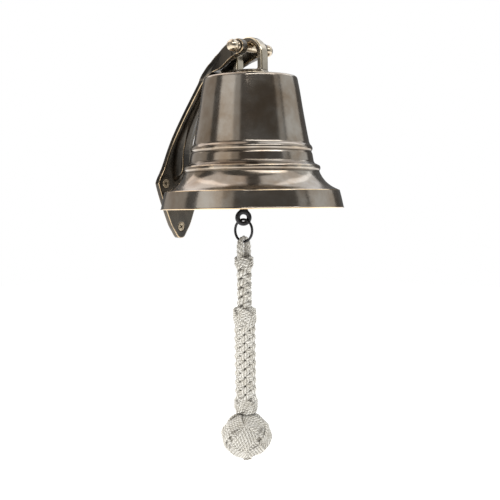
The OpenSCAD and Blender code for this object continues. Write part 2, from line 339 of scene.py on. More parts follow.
def even(line, step):
    """A line with points about a step apart, its corners cut by less than that."""
    p = np.asarray(line, float)
    along = np.concatenate([[0], np.cumsum(np.linalg.norm(np.diff(p, axis=0), axis=1))])
    at = np.linspace(0, along[-1], int(along[-1] / step) + 2)
    return np.stack([np.interp(at, along, p[:, k]) for k in range(p.shape[1])], 1)


def smoothed(values, times):
    """A list of points with each moved to the mean of itself and its neighbours, several times over."""
    v = np.array(values, float)
    for _ in range(times):
        v[1:-1] = (v[:-2] + 2 * v[1:-1] + v[2:]) / 4
    return v


def turned(profile, sides, centre=(0, 0, 0), axis="z", closed=True):
    """A turned surface: the profile's (radius, height) points carried round the axis by even angles.
    Where it is closed, the profile comes back to its start."""
    p = np.asarray(profile, float)
    a = np.linspace(0, 2 * np.pi, sides, endpoint=False)[None, :]
    r, h = p[:, 0:1], p[:, 1:2] + 0 * a
    points = np.stack([r * np.cos(a), r * np.sin(a), h], -1).reshape(-1, 3)
    if axis == "x":
        points = points[:, [2, 0, 1]]
    bend = edge_bend(p, closed)
    return points + centre, grid_faces(len(p), sides, round_rows=closed), np.repeat(bend, sides)


def out_in(bend, wear_from, wear_to, hollow_from, hollow_to):
    """Wear where a surface bends out and hollow where it bends in, each from 0 to 1."""
    wear = np.clip((bend - wear_from) / (wear_to - wear_from), 0, 1)
    hollow = np.clip((-bend - hollow_from) / (hollow_to - hollow_from), 0, 1)
    return wear, hollow


LOBE_DEPTH = 0.16


def tube(path, radius, up, sides=14, lobes=0, lay=1.0, start=0.0, closed=False):
    """A cord along a path: a ring of points round each of the path's points, square to it. A laid cord's
    ring has lobes, its radius less by a share LOBE_DEPTH x (1 - |cos(lobes x angle / 2)|), and it turns
    as it goes, once in each lay."""
    p, up = np.asarray(path, float), np.broadcast_to(up, np.shape(path)).astype(float)
    way = unit(np.roll(p, -1, axis=0) - np.roll(p, 1, axis=0) if closed else np.gradient(p, axis=0))
    side = unit(np.cross(way, up))
    normal = np.cross(side, way)
    step = np.linalg.norm(np.diff(p, axis=0), axis=1)
    along = np.concatenate([[0], np.cumsum(step)])
    whole = along[-1] + (np.linalg.norm(p[0] - p[-1]) if closed else 0)
    if closed and lobes:
        lay = whole / max(1, round(whole / lay * lobes)) * lobes
    a = np.linspace(0, 2 * np.pi, sides, endpoint=False)
    spun = a[None, :] + 2 * np.pi * along[:, None] / lay + start
    swell = 1 - LOBE_DEPTH + LOBE_DEPTH * np.abs(np.cos(lobes * spun / 2)) if lobes else 1 + 0 * spun
    r = np.broadcast_to(np.reshape(radius, (-1, 1)), swell.shape) * swell
    ring = np.cos(a)[None, :, None] * normal[:, None] + np.sin(a)[None, :, None] * side[:, None]
    points = (p[:, None] + r[..., None] * ring).reshape(-1, 3)
    quads = grid_faces(len(p), sides, round_rows=closed)[:, ::-1]
    tris = None
    at = np.stack([np.repeat(along, sides), spun.ravel(), np.full(spun.size, start)], 1)
    pit = ((1 - (swell - 1 + LOBE_DEPTH) / LOBE_DEPTH) if lobes else 0 * swell).ravel()
    if not closed:
        n = len(points)
        points = np.concatenate([points, p[[0, -1]]])
        j = np.arange(sides)
        last = (len(p) - 1) * sides
        first_cap = np.stack([j, (j + 1) % sides, np.full(sides, n)], 1)[:, ::-1]
        last_cap = np.stack([last + j, last + (j + 1) % sides, np.full(sides, n + 1)], 1)
        tris = np.concatenate([first_cap, last_cap])[:, ::-1]
        at = np.concatenate([at, [[0, 0, start], [whole, 0, start]]])
        pit = np.concatenate([pit, [0, 0]])
    return points, quads, tris, at, pit


# ---------------------------------------------------------------- materials


class Term:
    """A shader value that Python's operators work on: each adds a Math node that does the same."""

    def __init__(self, finish, socket):
        self.finish, self.socket = finish, socket

    def _maths(self, operation, *terms):
        node = self.finish.node("ShaderNodeMath", {"operation": operation}, dict(enumerate(terms)))
        return Term(self.finish, node.outputs[0])

    def __add__(self, other):
        return self._maths("ADD", self, other)

    def __sub__(self, other):
        return self._maths("SUBTRACT", self, other)

    def __mul__(self, other):
        return self._maths("MULTIPLY", self, other)

    def sine(self):
        return self._maths("SINE", self)

    __radd__ = __add__


class Finish:
    """A material under construction, with short names for the nodes that this object's finishes use."""

    def __init__(self, name):
        self.material = bpy.data.materials.new(name)
        self.material.use_nodes = True
        self.tree = self.material.node_tree
        self.shader = self.tree.nodes["Principled BSDF"]
        self.place = Term(self, self.node("ShaderNodeTexCoord").outputs["Object"])

    def node(self, kind, settings=None, values=None):
        """Makes a node: its settings first, and then a value or a link for each socket named."""
        made = self.tree.nodes.new(kind)
        for key, value in (settings or {}).items():
            setattr(made, key, value)
        for key, value in (values or {}).items():
            self.feed(made.inputs[key], value)
        return made

    def feed(self, socket, value):
        if isinstance(value, Term):
            self.tree.links.new(value.socket, socket)
        elif isinstance(value, tuple) and len(socket.default_value) == 4:
            socket.default_value = (*value, 1)
        else:
            socket.default_value = value

    def attribute(self, name, output="Fac"):
        return Term(self, self.node("ShaderNodeAttribute", {"attribute_name": name}).outputs[output])

    def parts(self, vector):
        split = self.node("ShaderNodeSeparateXYZ", None, {0: vector})
        return [Term(self, output) for output in split.outputs]

    def joined(self, x, y, z):
        return Term(self, self.node("ShaderNodeCombineXYZ", None, {0: x, 1: y, 2: z}).outputs[0])

    def noise(self, where, scale, detail=3.0, roughness=0.55):
        values = {"Vector": where, "Scale": scale, "Detail": detail, "Roughness": roughness}
        return Term(self, self.node("ShaderNodeTexNoise", None, values).outputs[0])

    def ease(self, value, low, high, to_low=0.0, to_high=1.0):
        """A smooth step from to_low to to_high as the value goes from low to high."""
        values = {"Value": value, "From Min": low, "From Max": high, "To Min": to_low, "To Max": to_high}
        node = self.node("ShaderNodeMapRange", {"interpolation_type": "SMOOTHSTEP"}, values)
        return Term(self, node.outputs[0])

    def blend(self, share, first, second):
        node = self.node("ShaderNodeMix", {"data_type": "RGBA"}, {0: share, 6: first, 7: second})
        return Term(self, node.outputs[2])

    def bump(self, height, distance):
        node = self.node("ShaderNodeBump", None, {"Height": height, "Distance": distance, "Strength": 1.0})
        self.feed(self.shader.inputs["Normal"], Term(self, node.outputs[0]))

    def done(self, **sockets):
        for key, value in sockets.items():
            self.feed(self.shader.inputs[key.replace("_", " ").title()], value)
        return self.material


def bronze(name, dark, mid, gold, shine, turned_marks, cast_marks):
    """Antiqued bronze: a dark patina that is rubbed to gold on the edges and deepest in the hollows,
    mottled in soft patches, with lathe marks round the bell or a fine cast grain."""
    f = Finish(name)
    wear, hollow = f.attribute("wear"), f.attribute("hollow")
    cloud = f.noise(f.place, 28.0, 4.0)
    patch = f.noise(f.place, 95.0, 5.0, 0.6)
    fine = f.noise(f.place, 900.0, 3.0, 0.6)
    body = f.blend(f.ease(cloud * 0.8 + patch * 0.2, 0.32, 0.66), dark, mid)
    rubbed = f.ease(wear + (patch - 0.5) * 0.9 + (fine - 0.5) * 0.35, 0.3, 0.95)
    body = f.blend(hollow * f.ease(patch, 0.2, 0.75, 0.55, 0.9), body, tuple(c * 0.28 for c in dark))
    colour = f.blend(rubbed * 0.85, body, gold)
    x, y, z = f.parts(f.place)
    lines = f.noise(f.joined(x * 6.0, y * 6.0, z * 1700.0), 1.0, 4.0, 0.7)
    height = lines * turned_marks + fine * cast_marks + patch * 0.12
    f.bump(height, distance=0.00004)
    rough = shine + (patch - 0.5) * 0.10 + (lines - 0.5) * 0.10 * turned_marks + hollow * 0.12
    return f.done(base_color=colour, metallic=1.0, roughness=rough + rubbed * -0.04)


def polished_brass():
    """Brass rubbed bright, with brown tarnish in soft patches and fine scratches."""
    f = Finish("polished_brass")
    patch, fine = f.noise(f.place, 240.0, 4.0), f.noise(f.place, 2600.0, 3.0)
    tarnish = f.ease(patch + f.attribute("hollow") * 0.4, 0.42, 0.72)
    colour = f.blend(tarnish, (0.60, 0.51, 0.385), (0.19, 0.15, 0.11))
    f.bump(fine, 0.00003)
    return f.done(base_color=colour, metallic=1.0, roughness=0.2 + (patch - 0.5) * 0.2 + (fine - 0.5) * 0.1)


def screw_metal():
    """Antiqued screw heads, grained and darkest in the cross recess."""
    f = Finish("screw_metal")
    hollow, patch = f.attribute("hollow"), f.noise(f.place, 620.0, 4.0, 0.6)
    colour = f.blend(f.ease(patch, 0.35, 0.65), (0.20, 0.165, 0.12), (0.48, 0.40, 0.29))
    colour = f.blend(f.attribute("wear") * 0.7, colour, (0.80, 0.66, 0.44))
    colour = f.blend(hollow * 0.85, colour, (0.03, 0.025, 0.02))
    f.bump(patch + f.noise(f.place, 3000.0, 2.0) * 0.4, 0.00012)
    return f.done(base_color=colour, metallic=1.0, roughness=0.36 + (patch - 0.5) * 0.25)


def black_iron():
    """Iron under a black oxide: nearly black, lightly grained, with a satin shine."""
    f = Finish("black_iron")
    patch, fine = f.noise(f.place, 160.0, 4.0, 0.6), f.noise(f.place, 1500.0, 3.0, 0.6)
    colour = f.blend(f.ease(patch, 0.35, 0.7), (0.012, 0.012, 0.014), (0.030, 0.029, 0.030))
    colour = f.blend(f.attribute("wear") * f.ease(fine, 0.45, 0.7) * 0.5, colour, (0.12, 0.115, 0.11))
    f.bump(patch * 0.5 + fine, 0.00010)
    return f.done(base_color=colour, metallic=0.6, roughness=0.42 + (patch - 0.5) * 0.25)


def cotton_cord():
    """Laid cotton: each yarn's fibres slant across it as fine ridges, the crowns of the strands are
    off-white with faint stains, and painted grey-brown shade darkens the hollows between them and, more
    deeply, the strands that lie under others."""
    f = Finish("cotton_cord")
    along, spun, _ = f.parts(f.attribute("along", "Vector"))
    pit, deep = f.attribute("hollow"), f.attribute("wear")
    slant = f.joined(along * 1.1 + spun * 0.9, spun * 2.2 - along * 2.4, along * 0.15)
    fibre = f.noise(slant, 3.2, 3.0, 0.65)
    yarn = ((spun * 6.0 - along * 5.5).sine() + 1.0) * 0.5
    stain = f.noise(f.place, 130.0, 4.0, 0.6)
    fuzz = f.noise(f.place, 2300.0, 3.0, 0.7)
    unshaded = f.blend(f.ease(stain, 0.35, 0.7), (0.70, 0.68, 0.625), (0.56, 0.53, 0.46))
    # Painted shade: the pits between a strand's lobes are darkened grey-brown.
    colour = f.blend(f.ease(pit + (fibre - 0.5) * 0.6, 0.2, 0.9, 0.0, 0.9), unshaded, (0.21, 0.185, 0.145))
    # Painted shade: strands that lie under others, and the knot cores, are darkened further.
    colour = f.blend(f.ease(deep + (stain - 0.5) * 0.3, 0.25, 0.9, 0.0, 0.9), colour, (0.12, 0.105, 0.085))
    f.bump(yarn * 0.55 + fibre * 0.9 + fuzz * 0.5, 0.00022)
    f.shader.inputs["Sheen Weight"].default_value = 0.25
    f.shader.inputs["Sheen Roughness"].default_value = 0.5
    return f.done(base_color=colour, roughness=0.9 + (fuzz - 0.5) * 0.12)


def core_wood():
    """Pale turned wood, with growth rings across it and a fine grain."""
    f = Finish("core_wood")
    x, y, z = f.parts(f.place)
    ring = ((x * 900.0 + f.noise(f.place, 60.0) * 9.0).sine() + 1.0) * 0.5
    grain = f.noise(f.joined(x * 1200.0, y * 1200.0, z * 90.0), 1.0, 3.0)
    f.bump(grain, 0.0001)
    colour = f.blend(ring * 0.6 + grain * 0.4, (0.66, 0.50, 0.32), (0.45, 0.31, 0.18))
    return f.done(base_color=colour, roughness=0.62)


bell_bronze = bronze(
    "bell_bronze",
    dark=(0.245, 0.185, 0.13), mid=(0.37, 0.335, 0.29), gold=(0.86, 0.64, 0.38),
    shine=0.155, turned_marks=0.5, cast_marks=0.03,
)
bracket_bronze = bronze(
    "bracket_bronze",
    dark=(0.045, 0.041, 0.036), mid=(0.10, 0.088, 0.072), gold=(0.60, 0.46, 0.29),
    shine=0.24, turned_marks=0.0, cast_marks=0.3,
)
loop_bronze = bronze(
    "loop_bronze",
    dark=(0.26, 0.225, 0.175), mid=(0.46, 0.41, 0.33), gold=(0.90, 0.76, 0.52),
    shine=0.2, turned_marks=0.0, cast_marks=0.3,
)
brass = polished_brass()
screw_brass = screw_metal()
iron = black_iron()
cotton = cotton_cord()
wood = core_wood()


# ---------------------------------------------------------------- the bell

BELL_SIDES, OUTSIDE_STEP, INSIDE_STEP, INSIDE_DARKENING = 192, 0.66, 2.4, 0.5


def bell_outline():
    """The bell's section as two lines of (radius, height): out over the crown, down the outside with its
    two mouldings and round the lip, and then up the inside."""
    m, h = MOUTH_R, heights("bell_shell")[1] - 1
    shoulder_r, wall = 42.5, 4.6
    outside = [
        [[4.3, h + 1], [18, h + 0.8], [36, h + 0.3]],
        arc([shoulder_r, h - 3], 3, 80, 8, 8),
        curve([[46.1, h - 6], [47.6, h - 14], [49.3, h - 25], [51.4, h - 38], [54.4, h - 55],
               [56.2, 63]], 10),
        [[56.5, 62.3]],
        arc([58.2, 62.4], 1.6, 185, 250, 6),
        arc([55.7, 57.6], 3.4, 34, -52, 12),
        [[58.2, 54.1], [58.9, 52.6], [60.2, 44.9]],
        arc([62.6, 44.8], 2, 185, 255, 6),
        arc([62.9, 38.7], 3.6, 44, -48, 12),
        [[65.55, 35.5]],
        curve([[65.7, 34.8], [68.2, 30], [72.4, 24.8], [78, 20.6], [m - 4.7, 17.5]], 10),
        arc([m - 4.6, 16.9], 0.5, 100, 10, 4),
        [[m - 2.6, 11], [m - 0.5, 1.2]],
        arc([m - 0.8, 0.8], 0.8, 0, -90, 5),
        arc([m - 4.2, 0.8], 0.8, -90, -180, 5),
    ]
    inside = [
        curve([[m - 5.6, 1.6], [m - 7, 6], [76, 15], [68, 24], [61, 33], [56.5, 43], [53, 54]], 8),
        curve([[51.4, 63], [54.4 - wall, h - 55], [51.4 - wall, h - 38], [47.6 - wall, h - 14]], 8),
        arc([shoulder_r - wall - 6, h - 14.5], 6.5, 12, 85, 8),
        [[14, h - 7], [4.3, h - 7]],
    ]
    return [np.concatenate([np.array(part, float) for part in parts]) for parts in (outside, inside)]


def make_bell():
    """The bell's section, evened to short steps outside and longer ones inside, carried round its axis."""
    outside, inside = bell_outline()
    outside = even(outside, OUTSIDE_STEP)
    line = np.concatenate([outside, even(inside, INSIDE_STEP)])
    points, quads, _ = turned(line, BELL_SIDES)
    bend = -smoothed(edge_bend(line, True), 2)
    wear, hollow = out_in(bend, 0.12, 0.6, 0.08, 0.45)
    # The whole inside gets this hollow value, which darkens its colour.
    hollow = np.maximum(hollow, np.where(np.arange(len(line)) > len(outside) + 2, INSIDE_DARKENING, 0))
    wear, hollow = np.repeat(wear, BELL_SIDES), np.repeat(hollow, BELL_SIDES)
    stock = Stock().add(points, quads[:, ::-1], wear=wear, hollow=hollow)
    return stock.piece("bell_body", "bell", "bell_bronze", bell_bronze, ["bell_shell"])


def make_crown_loop():
    """The loop: a flat bar bent over in an arch, on a low round hub, as a distance field."""
    low, high = heights("crown_loop")
    width, depth = 37.0, 10.0
    bar, hub_r = 6.2, span("crown_loop")[0] / 2
    mid, hub_h = high - width / 2, heights("bell_shell")[1] + 0.1
    cove = arc([hub_r, 8.2], 6, 270, 215, 8)
    foot = np.concatenate([[[-0.1, 0], [hub_r, 0], [hub_r, 2.2]], cove, [[15, 5.4], [-0.1, 6]]])

    def field(x, y, z):
        ring = np.abs(np.where(z > mid, np.hypot(y, z - mid), np.abs(y)) - (width - bar) / 2) - bar / 2
        arch = both(both(ring, np.abs(x) - depth / 2, 1.5), hub_h - z, 0.2)
        hub = both(outline_distance(foot, np.hypot(x, y), z - hub_h), hub_h - z, 0.2)
        return either(arch, hub, 2.2)

    points, quads = skin(field, (-hub_r - 1, -hub_r - 1, hub_h - 1), (hub_r + 1, hub_r + 1, high + 1), 0.5)
    wear, hollow = out_in(bend_of(field, points, 0.8), 0.15, 0.8, 0.05, 0.4)
    stock = Stock().add(points, quads, wear=wear, hollow=hollow)
    stud = np.array([[0.01, hub_h + 1], [4, hub_h + 1], [4, low + 0.5], [3.5, low], [0.01, low]])
    points, quads, _ = turned(even(stud, 0.8), 40, closed=False)
    stock.add(points, quads[:, ::-1])
    return stock.piece("crown_loop_cast", "bell", "bracket_bronze", loop_bronze, ["crown_loop"])


# ---------------------------------------------------------------- the bracket

PLATE_T = 6.0
BACK = [[0, -34], [0, 0], [0, 32], [1, 50], [6, 70], [18.5, 92], [32, 111], [46.5, 129], [61, 143.5],
        [77, 155], [90, 160.5], [102, 162]]
RIB = [[PLATE_T - 1, 32], [12, 37], [14.5, 44], [15.5, 60], [21.5, 81], [30.5, 98], [38.5, 110],
       [45, 119], [52, 127], [61, 134]]
OUTLINE = [[0, -29], [4.5, -27.8], [9, -22], [14, -15], [20, -2], [25.5, 11], [30.6, 25.5], [30.6, 28.5],
           [28.5, 33], [25, 38.5], [21.5, 45], [17.8, 56], [14.2, 71], [12.2, 92], [11.6, 111], [12, 129],
           [12.5, 150]]
RIB_HALF = [[5, 30], [5, 60], [3.6, 78], [2.4, 95], [2.4, 112], [4, 122], [9, 133]]
ARM_UNDER = [[52, 128.5], [62, 134], [75, 137], [89, 143.5]]
ARM_PLAN = [[0, 45], [12, 45], [12.4, 60], [14, 74], [17, 87], [19, 94], [19, 112], [11, 112], [11, 88],
            [9, 74], [6, 68], [0, 65]]
KNUCKLE_R, KNUCKLE_MID, KNUCKLE_HALF = 7.0, 15.0, 4.0
SCREWS = [[-21, SCREW_MID_H + 22], [21, SCREW_MID_H + 22], [0, SCREW_MID_H - 22]]
SCREW_R, HEAD_R, HEAD_T = 2.1, 4.4, 2.7
RIB_COVE, KNUCKLE_COVE, FORK_COVE, BRACKET_GRID = 7.5, 2.0, 2.5, 0.72
HEAD_GRID, SHANK_SIDES, THREAD_PITCH = 0.16, 24, 1.5


def make_bracket():
    """One casting as a distance field: a flange that follows the arm's back, a rib in front of it with
    wide coves between, two fork arms with knuckles, and countersunk screw holes."""
    back = curve(BACK, 5)
    flange_side = np.concatenate([beside(back, PLATE_T, 4.2), back[::-1]])
    front = curve(OUTLINE, 4)
    flange_front = np.concatenate([front, front[::-1] * [-1, 1]])
    rib_side = np.concatenate([curve(RIB, 5), back[(back[:, 1] > 30) & (back[:, 1] < 142)][::-1]])
    arm_side = np.concatenate([back[back[:, 1] > 128], [[102, 148]], curve(ARM_UNDER, 5)[::-1]])
    arm_plan = np.array(ARM_PLAN, float)
    half, at = np.array(RIB_HALF, float).T

    def field(x, y, z):
        out, across = AXIS_OUT - y, np.abs(x)
        flange = both(outline_distance(flange_side, out, z), outline_distance(flange_front, x, z), 0.9)
        rib = both(outline_distance(rib_side, out, z), across - np.interp(z, at, half), 0.9)
        arm = both(outline_distance(arm_side, out, z), outline_distance(arm_plan, across, out), 1.1)
        knuckle = np.hypot(out - AXIS_OUT, z - PIN_H) - KNUCKLE_R
        knuckle = both(knuckle, np.abs(across - KNUCKLE_MID) - KNUCKLE_HALF, 0.9)
        solid = either(either(flange, rib, RIB_COVE), either(arm, knuckle, KNUCKLE_COVE), FORK_COVE)
        for sx, sz in SCREWS:
            wide = np.clip(HEAD_R + 0.35 - 0.79 * (PLATE_T - out), SCREW_R + 0.2, HEAD_R + 0.35)
            solid = both(solid, (wide - np.hypot(x - sx, z - sz)) * 0.8, 0.35)
        return solid

    low, high = (-34, -12, -31), (34, AXIS_OUT + 1.5, PIN_H + 9)
    points, quads = skin(field, low, high, BRACKET_GRID)
    wear, hollow = out_in(bend_of(field, points, 0.9), 0.36, 1.2, 0.05, 0.28)
    stock = Stock().add(points, quads, wear=wear, hollow=hollow)
    return stock.piece("bracket_cast", "bracket", "bracket_bronze", bracket_bronze, ["wall_bracket"])


def make_screws():
    """Three wood screws: a countersunk head with a cross recess, as a distance field, and a turned shank
    whose radius rises and falls once a turn along its length as a thread."""
    stock = Stock()

    def head(x, y, z):
        deep = y - (AXIS_OUT - PLATE_T)
        body = both((np.hypot(x, z) - HEAD_R + np.clip(deep - 0.4, 0, 9) * 0.98) * 0.72, -deep, 0.25)
        body = both(body, deep - HEAD_T, 0.05)
        wide = 0.62 - 0.16 * deep
        arm_x = np.maximum(np.abs(x) - 2.35 + 0.6 * deep, np.abs(z) - wide)
        arm_z = np.maximum(np.abs(z) - 2.35 + 0.6 * deep, np.abs(x) - wide)
        cross = either(arm_x, arm_z, 0.5)
        return both(body, -np.maximum(cross, deep - 1.9) * 0.9, 0.12)

    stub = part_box("wall_screws")[1].y / MM
    front = AXIS_OUT - PLATE_T
    for sx, sz in SCREWS:
        turn = math.radians(35 + 20 * sx)
        c, s = math.cos(turn), math.sin(turn)
        points, quads = skin(head, (-5, front - 0.5, -5), (5, AXIS_OUT - 2.9, 5), HEAD_GRID)
        wear, hollow = out_in(bend_of(head, points, 0.2), 1.2, 4.0, 0.4, 2.0)
        hollow = np.maximum(hollow, np.clip((points[:, 1] - front - 0.25) * 2, 0, 1))
        points[:, [0, 2]] = points[:, [0, 2]] @ [[c, s], [-s, c]] + [sx, sz]
        stock.add(points, quads, wear=wear, hollow=hollow)
        a = np.linspace(0, 2 * np.pi, SHANK_SIDES, endpoint=False)[None, :]
        t = np.arange(0, stub + PLATE_T - HEAD_T + 0.2, 0.14)[:, None]
        point = np.clip(0.55 + (t[-1] - t) / 2.0, 0.5, 1)
        thread = np.clip(np.cos(2 * np.pi * t / THREAD_PITCH - a) * 1.4, -1, 1)
        r = (1.78 + 0.3 * (np.clip((t - 3.5) / 1.5, 0, 1) * thread)) * point
        shank = np.stack([sx + r * np.cos(a), front + HEAD_T - 0.2 + t + 0 * a, sz + r * np.sin(a)], -1)
        n = len(t)
        tip = np.array([[sx, shank[-1, 0, 1] + 0.05, sz]])
        last = (n - 1) * SHANK_SIDES
        j = np.arange(SHANK_SIDES)
        fan = np.stack([last + j, last + (j + 1) % SHANK_SIDES, np.full(SHANK_SIDES, n * SHANK_SIDES)], 1)
        stock.add(np.concatenate([shank.reshape(-1, 3), tip]), grid_faces(n, SHANK_SIDES), fan)
    return stock.piece("screw_set", "bracket", "screw_brass", screw_brass, ["wall_screws"])


def lathe(stock, profile, centre, axis, step=0.3, sides=64, wear_from=0.15):
    """Adds a solid turned from an open profile that starts and ends on its axis."""
    line = smoothed(even(profile, step), 1)
    points, quads, bend = turned(line, sides, centre, axis, closed=False)
    wear, hollow = out_in(-bend, wear_from, wear_from + 0.6, 0.1, 0.6)
    return stock.add(points, quads[:, ::-1], wear=wear, hollow=hollow)


def make_pin_and_nuts():
    """The pin, and the ball nuts: a ball on a short collar, turned as one."""
    half = KNUCKLE_MID + KNUCKLE_HALF
    reach, ball_r = span("ball_nuts")[0] / 2, span("ball_nuts")[2] / 2
    pin = [[0.01, half - 0.1], [PIN_R, half - 0.1], [PIN_R, 0.1 - half], [0.01, 0.1 - half]]
    stock = lathe(Stock(), pin, (0, 0, PIN_H), "x", 0.4, 48)
    stock.piece("pin_turned", "bracket", "polished_brass", brass, ["pivot_pin"])
    ball = arc([0, reach - ball_r], ball_r, 89.9, -44, 24)
    collar = [[4.3, half + 2.1], [4.75, half + 1.9], [4.95, half + 1.5]]
    collar += [[4.95, half + 0.1], [0.01, half + 0.1]]
    stock = Stock()
    for side in (1, -1):
        line = np.concatenate([ball, np.array(collar)]) * [1, side]
        line = np.clip(line, [0.01, -99], 99)[::side]
        lathe(stock, line, (0, 0, PIN_H), "x", 0.25, 72, 0.3)
    return stock.piece("ball_nut_pair", "bracket", "polished_brass", brass, ["ball_nuts"])


# ---------------------------------------------------------------- clapper and ring


def make_clapper():
    """The striking ball, turned with a flat facet of wear round its middle, and the tail: a round eye
    blended into the rod, as a distance field, and hollowed along the ring's wire."""
    ball_h, ball_r = 18.0, span("clapper_ball")[0] / 2
    side = np.sqrt(np.clip(1 - np.linspace(1, -1, 60) ** 2, 0, None)) * ball_r
    up = np.linspace(1, -1, 60) * ball_r
    bob = lathe(Stock(), np.stack([np.clip(np.minimum(side, ball_r - 0.1), 0.01, 99), up], 1),
                (0, 0, ball_h), "z", 0.5, 96, 0.2)
    bob.points[0] = leaning(bob.points[0])
    bob.piece("clapper_bob", "clapper", "black_iron", iron, ["clapper_ball"])
    bar, r, mid, worn_r, wire_h = 2.4, 5.6, TAIL_H, 2.2, 3.9

    def field(x, y, z):
        wide, deep = (x - y) * DIAGONAL, (x + y) * DIAGONAL
        ring = np.hypot(np.hypot(wide, z - mid) - r, deep) - bar
        rod = both(np.hypot(x, y) - 3, np.abs(z - mid - r - 8) - 9, 0.2)
        worn = worn_r - np.hypot(x, z - mid + r - wire_h)
        return np.maximum(either(ring, rod, 2.6), worn)

    points, quads = skin(field, (-9, -9, mid - 9), (9, 9, mid + r + 18), 0.36)
    wear, hollow = out_in(bend_of(field, points, 0.6), 0.5, 1.2, 0.02, 0.4)
    points = leaning(points)
    return Stock().add(points, quads, wear=wear, hollow=hollow).piece(
        "tail_eye", "clapper", "black_iron", iron, ["clapper_tail"])


def make_ring():
    """The wire ring: a round wire carried round a circle, with a small swelling at its weld that falls
    off as exp(-x squared)."""
    centre = middle("rope_ring") - [0, -AXIS_OUT, LIP_Z]
    wire = span("rope_ring")[0] / 2
    r = span("rope_ring")[2] / 2 - wire
    a = np.linspace(0, 2 * np.pi, 180, endpoint=False)
    path = centre + np.stack([0 * a, r * np.sin(a), r * np.cos(a)], 1)
    weld = 0.06 * np.exp(-(((a - 4.2) / 0.07) ** 2)) - 0.03
    points, quads, *_ = tube(path, wire * (1 + weld), [1.0, 0, 0], 20, closed=True)
    return Stock().add(points, quads, wear=np.full(len(points), 0.5)).piece(
        "wire_ring", "ring", "black_iron", iron, ["rope_ring"])


# ---------------------------------------------------------------- the rope

EYE_TOP = rope_heights("rope_eye")[1]
EYE_H, EYE_R = EYE_TOP - 8.9, 5.2
CORD_DROP = 3.4  # from the CAD eye's top down to where the cord's line starts
PINCH_SINK = 3.4  # how far the eye's line would sink if the pinch took all of its thickness
EYE_LAY = 15.0
# Each knot's radius, leads, bights, cords side by side, and cord radius
KNOTS = {
    "eye_knot": (9.8, 3, 4, 3, 1.3),
    "middle_knot": (12.0, 3, 4, 4, 1.3),
    "lower_knot": (12.2, 3, 4, 4, 1.15),
}


def strand(stock, path, radius, up, sides=18, lay=9.0, start=0.0, closed=False, deep=0.0, step=0.6, lobes=3):
    """Adds one laid strand along a path, with deep saying how far it lies in painted shade; the pits between
    its lobes are painted darker too.
    """
    p = even(np.concatenate([path, path[:1]]) if closed else path, step) if step else path
    up = up(p) if callable(up) else up
    p = p[:-1] if closed else p
    up = up[: len(p)] if np.ndim(up) == 2 else up
    points, quads, tris, at, pit = tube(p, radius, up, sides, lobes, lay, start, closed)
    if np.ndim(deep):
        deep = np.interp(np.arange(len(p)), np.linspace(0, len(p) - 1, len(deep)), deep)
        deep = np.concatenate([np.repeat(deep, sides), [] if closed else deep[[0, -1]]])
    # deep and the lobe pits go on as painted shade for the cotton's colour.
    return stock.add(points, quads, tris, wear=np.full(len(points), 0.0) + deep, hollow=pit, at=at)


def outward(p):
    """The direction away from the bell's axis at each point."""
    return unit(p * [1, 1, 0] + [1e-6, 0, 0])


def braid(stock, top, foot, pairs, lay, r, weave, proud, strand_r, sides, twist):
    """A round braid: half the strands wind one way and half the other, by angle = 2 pi z / lay, and each
    stands out and in by weave x cos(2 pi pairs z / lay), so that it passes over one and under the next.
    Those that rise to the right stand proud of the others."""
    z = np.linspace(top, foot, int((top - foot) * 3))
    for way in (1, -1):
        for j in range(pairs):
            a = way * 2 * np.pi * z / lay + 2 * np.pi * j / pairs
            wave = way * np.cos(pairs * 2 * np.pi * z / lay)
            at = r + weave * wave + way * proud
            # Painted shade: a strand is darker where it dips under the next, and the strands behind the
            # proud ones are darker all along.
            deep = 0.38 - 0.42 * wave - 0.14 * way
            strand(stock, round_axis(at, a, z), strand_r, outward, sides, twist, way * j * 1.3, deep=deep)


def turks_head(stock, at, leads, bights, cords, cord_r, weave, twist=6.0, sides=12):
    """A Turk's head of parallel cords. Its middle line goes round the axis once for each lead while it
    rises and falls once for each bight, and weave x sin((leads - 1) bights t) takes it over and under
    itself. at(angle, v) gives the surface point for v from -1 to 1, and its direction outwards."""
    t = np.linspace(0, 2 * np.pi, 1200, endpoint=False)
    point, out = at(leads * t, np.cos(bights * t))
    wave = np.sin((leads - 1) * bights * t)
    line = point + out * (weave * wave)[:, None]
    way = unit(np.roll(line, -1, axis=0) - np.roll(line, 1, axis=0))
    side = unit(np.cross(way, out))
    for k in range(cords):
        path = line + side * ((k - (cords - 1) / 2) * cord_r * 1.9)
        path = sum(np.roll(path, n, axis=0) for n in (2, 1, 0, -1, -2)) / 5
        # Painted shade: the cords are darker where they pass under their crossings.
        deep = 0.3 - 0.45 * wave
        strand(stock, path, cord_r, outward, sides, twist, k * 1.1, closed=True, deep=deep, lobes=2)


def barrel(centre, height, r, bulge):
    """The surface of a knot: a barrel whose radius is r + bulge x (1 - v squared) at v from -1 to 1."""

    def at(angle, v):
        point = round_axis(r + bulge * (1 - v * v), angle, centre + height / 2 * v)
        return point, round_axis(1, angle, 0 * angle)

    return at


def make_knots():
    """The three Turk's head knots, each over a plump core that fills it and is painted dark all over as
    shade.
    """
    made = []
    for node, (r, leads, bights, cords, cord_r) in KNOTS.items():
        foot, top = rope_heights(node)
        mid, tall = (foot + top) / 2, top - foot
        stock = Stock()
        at = barrel(mid, tall - 2.1 * cords * cord_r, r - 1.1 - 1.55 * cord_r, 1.0)
        turks_head(stock, at, leads, bights, cords, cord_r, 0.6 * cord_r)
        core = [[0.01, top - 0.6], [r - 4.6, top - 1], [r - 3.6, mid + 2], [r - 3.4, mid],
                [r - 3.6, mid - 2], [r - 4.6, foot + 1], [0.01, foot + 0.6]]
        line = even(curve(core, 6), 0.5)
        points, quads, _ = turned(line, 48, closed=False)
        # The core is painted shade: both its values are 1, so it shows dark through the gaps in the knot.
        stock.add(points, quads[:, ::-1], wear=np.ones(len(points)), hollow=np.ones(len(points)))
        made.append(stock.piece(node + "_tied", "lanyard", "cotton", cotton, [node]))
    return made


